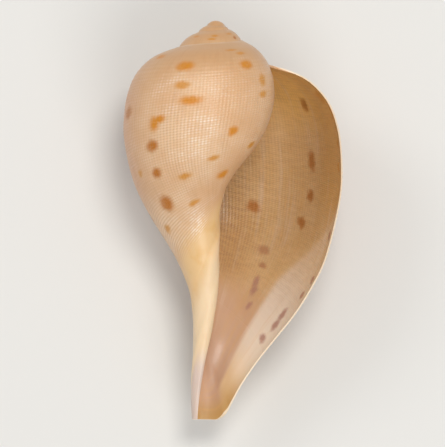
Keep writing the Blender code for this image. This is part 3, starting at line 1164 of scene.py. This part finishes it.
@dataclass(frozen=True)
class OutsideFinish(ShellFinish):
    """Warm cream with a fine net of cords and riblets, painted glints on its crests, tan blotches and a
    smooth ivory neck.
    """

    groove: Colour = (0.50, 0.255, 0.11, 1.0)
    # The net's pale crests, brightened further where they carry painted glints.
    crest_and_glint: Colour = (0.98, 0.84, 0.72, 1.0)
    shoulder: Colour = (0.60, 0.335, 0.155, 1.0)
    # Painted shade: a darker, pinker colour for the lower flank.
    shaded_flank: Colour = (0.64, 0.315, 0.165, 1.0)
    ivory: Colour = (0.79, 0.515, 0.25, 1.0)
    worn: Colour = (0.74, 0.42, 0.14, 1.0)
    lilac: Colour = (0.64, 0.50, 0.43, 1.0)
    glaze: Colour = (0.74, 0.47, 0.30, 1.0)
    cloud: Noise = Noise(60.0, 3.0)
    patch: Noise = Noise(240.0, 2.0)
    grain: Noise = Noise(1.0, 2.0, 0.6, (34.0, 78.0, 0.0))
    streak: Noise = Noise(1.0, 3.0, 0.6, (95.0, 5.0, 0.0))
    bump: tuple[float, float] = (0.6, 0.00018)

    def build(self) -> bpy.types.Material:
        """Build the material.

        Returns:
            The finish of the wall's outside.
        """
        material, graph, at = self.start()
        share, whorl = at["share"], at["whorl"]
        cloud, patch = graph.mottle(at["object"], self.cloud), graph.mottle(at["object"], self.patch)
        grain, streak = graph.mottle(at["net"], self.grain), graph.mottle(at["growth"], self.streak)

        # The net: cords, two to one near the lip, and riblets that give out above the neck.
        between, late = at["cord"].wave(2), whorl.ramp(0.45, 0.25)
        cord = at["cord"].wave() * (1.0 - late) + between * late
        netted = share.ramp(0.92, 0.82) * share.ramp(0.05, 0.32) * whorl.ramp(1.02, 0.97, 0.12, 1.0)
        netted = netted * cloud.ramp(0.30, 0.70, 0.35, 1.0)
        crossed = share.ramp(0.84, 0.56)
        ribbed = at["riblet"].wave() * crossed
        pits = (1.0 - ribbed * 0.8) * (1.0 - cord) * netted * grain.ramp(0.30, 0.60, 0.5, 1.0)
        # Painted highlight: inside the glint zones the crests get brighter, as glints.
        glint_zones = self.blotches.distance(graph, at["blurred"], self.blotches.painted_glints).ramp(1.5, 0.3, 0.24, 1.0)
        glint = grain.ramp(0.38, 0.62, 0.15, 1.0) * glint_zones * patch.ramp(0.32, 0.62, 0.4, 1.0)
        crests_and_glints = ((ribbed + (1.0 - crossed)) * cord) ** 0.7 * netted * glint

        # The colours under the blotches, from the ground up.
        # Painted shade on the lower flank behind the left edge, darker and pinker.
        side = whorl.ramp(0.60, 0.50) * share.ramp(0.70, 0.5)
        neck = share.ramp(0.78, 0.90)
        colour = graph.coats(
            self.ground,
            (cloud.ramp(0.35, 0.7), self.pale),
            (side * 0.7, self.shaded_flank),
            (share.ramp(0.30, 0.08), self.shoulder),
            (streak.ramp(0.5, 0.75, 0.0, 0.30), self.groove),
            (neck, self.ivory),
            (neck * patch.ramp(0.5, 0.72) * 0.55, self.worn),
            (share.ramp(0.97, 1.2) * 0.5, self.cream),
            (share.ramp(1.33, 1.42) * whorl.ramp(0.30, 0.16) * 0.9, self.lilac),
            (pits * 0.50, self.groove),
            (crests_and_glints, self.crest_and_glint),
        )
        marks = self.blotches.front + self.blotches.mouth + self.blotches.scatter.marks()
        strength = grain.ramp(0.26, 0.50, 0.76, 1.0)
        colour = self.blotches.stain(graph, at["blurred"], colour, strength, marks)

        # The pale suture, the glaze on the wall behind the mouth, and the lip's edge.
        suture = share.ramp(0.020, 0.004) * whorl.ramp(1.6, 1.3) * patch.ramp(0.35, 0.6, 0.15, 0.38)
        parietal = whorl.ramp(0.93, 0.965) * whorl.ramp(1.01, 0.99) * share.ramp(0.10, 0.14)
        lip = whorl.ramp(0.0025, 0.0008)
        colour = graph.coats(
            colour, (suture, self.cream), (parietal * 0.5, self.glaze), (lip * 0.8, self.cream)
        )
        relief = ribbed * netted * 0.7 + between * late * netted * 0.5 + streak * 0.35 + cloud * 0.1
        relief = relief + grain * netted * 0.5 + patch * neck * 0.8
        self.end(graph, relief, self.bump, {
            "Base Color": colour,
            "Roughness": (1.0 - netted) * -0.06 + self.roughness - crests_and_glints * 0.06,
            "Coat Weight": crests_and_glints * 0.6 + 0.08, "Coat Roughness": 0.20,
        })
        return material


@dataclass(frozen=True)
class InsideFinish(ShellFinish):
    """Tan glaze, with the net and the blotches showing through it, and a pale band inside the lip that is
    partly painted light.
    """

    name: str = "shell_inside"
    ground: Colour = (0.70, 0.430, 0.185, 1.0)
    pale: Colour = (0.77, 0.500, 0.245, 1.0)
    # Amber of the mouth's upper part, made lighter as painted light against the shade under the upper wall.
    amber_and_painted_light: Colour = (0.97, 0.60, 0.185, 1.0)
    # Pale band inside the lip: partly its paler glaze, partly painted light.
    margin: Colour = (0.81, 0.575, 0.350, 1.0)
    cream_margin: Colour = (0.83, 0.665, 0.510, 1.0)
    tip_margin: Colour = (0.70, 0.465, 0.250, 1.0)
    rosy: Colour = (0.61, 0.365, 0.235, 1.0)
    ochre: Colour = (0.52, 0.29, 0.09, 1.0)
    shade: Colour = (0.32, 0.155, 0.080, 1.0)
    honey: Colour = (0.70, 0.39, 0.120, 1.0)
    # Painted shade: the darker colour deep in the hollow and in its nook.
    depth: Colour = (0.56, 0.31, 0.115, 1.0)
    canal: Colour = (0.52, 0.30, 0.180, 1.0)
    roughness: float = 0.27
    cloud: Noise = Noise(110.0, 4.0, 0.6)
    grain: Noise = Noise(1.0, 2.0, 0.6, (24.0, 110.0, 0.0))
    streak: Noise = Noise(1.0, 3.0, 0.6, (70.0, 3.0, 0.0))
    glow: float = 0.10
    blotch_strength: float = 0.75
    bump: tuple[float, float] = (0.3, 0.00012)

    def build(self) -> bpy.types.Material:
        """Build the material.

        Returns:
            The finish of the wall's inside.
        """
        material, graph, at = self.start()
        share, whorl = at["share"], at["whorl"]
        cloud = graph.mottle(at["object"], self.cloud)
        grain, streak = graph.mottle(at["net"], self.grain), graph.mottle(at["growth"], self.streak)
        riblet, cord = at["riblet"].wave(), at["cord"].wave(2)
        netted = share.ramp(0.80, 0.66)
        near_pillar = whorl.ramp(0.12, 0.30, 0.35, 1.0)
        lines = (1.0 - riblet * cord) * netted * grain.ramp(0.35, 0.65, 0.3, 1.0) * near_pillar
        # Painted shade in a recess of the hollow, back from the lip.
        shaded_nook = whorl.ramp(0.16, 0.22) * share.ramp(0.40, 0.58) * share.ramp(0.80, 0.68)

        # The margin is the pale band inside the lip, wider towards the canal: partly the lip's paler glaze,
        # partly painted light where the band faces the lamps.
        reach = share.ramp(0.38, 0.70, 0.0, 0.108) - share.ramp(0.68, 1.0, 0.0, 0.024)
        margin = (reach - whorl).ramp(-0.011, 0.011) * share.ramp(1.05, 0.98)
        tint = graph.coats(
            self.margin,
            (share.ramp(0.55, 0.75), self.cream_margin),
            (share.ramp(0.82, 0.96), self.tip_margin),
        )
        colour = graph.coats(
            self.ground,
            (cloud.ramp(0.35, 0.7), self.pale),
            # Partly the upper mouth's amber tone, partly painted light lifting its shade.
            (share.ramp(0.30, 0.16) * whorl.ramp(0.22, 0.10), self.amber_and_painted_light),
            (share.ramp(0.66, 0.82) * 0.8, self.rosy),
            (share.ramp(0.50, 0.40) * whorl.ramp(0.09, 0.04) * 0.8, self.honey),
            (share.ramp(0.82, 1.0) * share.ramp(1.16, 1.04, 0.3, 1.0), self.canal),
            # Painted shade: darker in the nook and deeper in the hollow.
            (shaded_nook * 0.75, self.depth),
            (whorl.ramp(0.24, 0.36), self.depth),
            # The pale band inside the lip, partly painted light.
            (margin, tint),
            (whorl.ramp(0.09, 0.01) * share.ramp(0.90, 1.0) * 0.9, self.ochre),
            (streak.ramp(0.52, 0.74) * share.ramp(0.96, 0.80) * 0.30, self.cream_margin),
            (streak.ramp(0.46, 0.28) * 0.25, self.honey),
            (lines * 0.62, self.shade),
        )
        marks = self.blotches.mouth
        colour = self.blotches.stain(graph, at["blurred"], colour, self.blotch_strength, marks)
        edge = whorl.ramp(0.0014, 0.0005)
        colour = graph.mix(edge * 0.9, colour, self.cream)
        relief = (riblet + cord) * netted * 0.5 + cloud * 0.2 - margin * 0.8
        self.end(graph, relief, self.bump, {
            "Base Color": colour,
            "Roughness": share.ramp(0.8, 1.0) * 0.14 + self.roughness,
            "Coat Weight": share.ramp(0.8, 1.0, 0.25, 0.08), "Coat Roughness": 0.15,
        })
        return material


@dataclass
class Shell:
    """The shell: its form, its winding and its finishes."""

    growth: Growth
    winding: Winding
    blotches: Blotches

    def build(self) -> bpy.types.Object:
        """Build and dress the shell, and put it on its body.

        Returns:
            The shell's object.
        """
        sheet = WallSheet(self.growth)
        sheet.lay()
        outside = OutsideFinish(self.blotches).build()
        inside = InsideFinish(self.blotches).build()
        tree = self.winding.tree(outside, inside)
        shell = self.winding.wind(sheet.mesh(), tree)
        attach(shell, "root")
        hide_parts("shell")
        return shell


@dataclass(frozen=True)
class Lamp:
    """One soft light, placed round the shell's middle, in metres."""

    name: str
    place: tuple[float, float, float]
    size: float
    watts: float
    colour: tuple[float, float, float] = (1.0, 1.0, 1.0)


@dataclass(frozen=True)
class Studio:
    """The pale floor, the soft lights, the sky and the camera."""

    winding: Winding
    floor_colour: Colour = (0.74, 0.73, 0.70, 1.0)
    floor_mottle: Noise = Noise(3.0)
    floor_dimming: float = 0.96
    floor_roughness: float = 0.9
    floor_half: float = 3.0
    lamps: tuple[Lamp, ...] = (
        Lamp("key_light", (0.12, 0.24, 0.92), 0.35, 3.8, (1.0, 0.97, 0.93)),
        Lamp("side_light", (-0.55, 0.35, 0.60), 0.40, 1.4),
        Lamp("fill_light", (0.22, -0.55, 0.75), 0.60, 3.0, (1.0, 0.98, 0.96)),
    )
    lit_point: tuple[float, float, float] = (0.0, 0.0, 0.02)
    sky: float = 0.44
    sky_colour: Colour = (0.93, 0.96, 1.0, 1.0)
    photo_size: tuple[int, int] = (445, 447)
    pixel: float = 0.22
    aim: tuple[float, float, float] = (2.64, -44.82, 0.0)
    photo_tilt: float = math.radians(1.6)
    range: float = 2000.0
    sensor: float = 36.0
    clip_end: float = 10.0

    def floor(self) -> bpy.types.Object:
        """Make the floor, with a faint mottle.

        Returns:
            The floor's object.
        """
        half = self.floor_half
        corners = [(-half, -half, 0), (half, -half, 0), (half, half, 0), (-half, half, 0)]
        mesh = bpy.data.meshes.new("floor")
        mesh.from_pydata(corners, [], [(0, 1, 2, 3)])
        material = bpy.data.materials.new("floor_paper")
        material.use_nodes = True
        graph = Graph(material.node_tree)
        graph.tree.nodes.clear()
        place = graph.node("ShaderNodeTexCoord", {}, {}).outputs["Object"]
        darker = (*(value * self.floor_dimming for value in self.floor_colour[:3]), 1.0)
        colour = graph.mix(graph.mottle(place, self.floor_mottle), self.floor_colour, darker)
        shader = graph.node("ShaderNodeBsdfPrincipled", {}, {
            "Base Color": colour, "Roughness": self.floor_roughness,
        })
        graph.node("ShaderNodeOutputMaterial", {}, {"Surface": shader.outputs[0]})
        mesh.materials.append(material)
        floor = bpy.data.objects.new("floor", mesh)
        bpy.context.scene.collection.objects.link(floor)
        return floor

    def light(self) -> None:
        """Hang the lamps and set the sky."""
        for lamp in self.lamps:
            data = bpy.data.lights.new(lamp.name, "AREA")
            data.shape, data.size, data.energy, data.color = "DISK", lamp.size, lamp.watts, lamp.colour
            light = bpy.data.objects.new(lamp.name, data)
            light.location = lamp.place
            towards = Vector(self.lit_point) - light.location
            light.rotation_euler = towards.to_track_quat("-Z", "Y").to_euler()
            bpy.context.scene.collection.objects.link(light)
        world = bpy.data.worlds.new("sky")
        world.use_nodes = True
        background = world.node_tree.nodes["Background"]
        background.inputs["Color"].default_value = self.sky_colour
        background.inputs["Strength"].default_value = self.sky
        bpy.context.scene.world = world
        bpy.context.scene.view_settings.view_transform = "Standard"

    def laid(self, place: Vector) -> Vector:
        """Carry a point from the shell's own frame to the laid shell's, in metres."""
        pitch, roll = self.winding.pitch, self.winding.roll
        y = place.y * math.cos(pitch) - place.z * math.sin(pitch)
        z = place.y * math.sin(pitch) + place.z * math.cos(pitch)
        x, z = place.x * math.cos(roll) + z * math.sin(roll), z * math.cos(roll) - place.x * math.sin(roll)
        return (Vector((x, y, z)) + Vector(self.winding.offset)) * MM

    def camera(self) -> bpy.types.Object:
        """Set the camera far off and square to the mouth, as in the photograph.

        Returns:
            The camera's object.
        """
        data = bpy.data.cameras.new("camera")
        wide = self.photo_size[0] * self.pixel
        data.sensor_width, data.clip_end = self.sensor, self.clip_end
        data.lens = self.sensor * self.range / wide
        camera = bpy.data.objects.new("camera", data)
        aim = Vector(self.aim)
        eye = self.laid(aim + Vector((0.0, 0.0, self.range)))
        back = (eye - self.laid(aim)).normalized()
        lean = Vector((-math.sin(self.photo_tilt), math.cos(self.photo_tilt), 0.0))
        up = (self.laid(aim + lean) - self.laid(aim)).normalized()
        right = up.cross(back)
        matrix = Matrix((right, up, back)).transposed().to_4x4()
        matrix.translation = eye
        camera.matrix_world = matrix
        bpy.context.scene.collection.objects.link(camera)
        bpy.context.scene.camera = camera
        return camera


def main() -> None:
    """Build the camera, the shell and its table, and note the sizes."""
    logging.basicConfig(level=logging.INFO, format="%(name)s: %(message)s")
    growth = Growth()
    winding = Winding(growth)
    studio = Studio(winding)
    LOG.info("camera: %s", studio.camera().name)
    shell = Shell(growth, winding, Blotches(growth)).build()
    LOG.info("shell: %s with %d corners", shell.name, len(shell.data.vertices))
    LOG.info("floor: %s", studio.floor().name)
    studio.light()


if __name__ == "__main__":
    main()
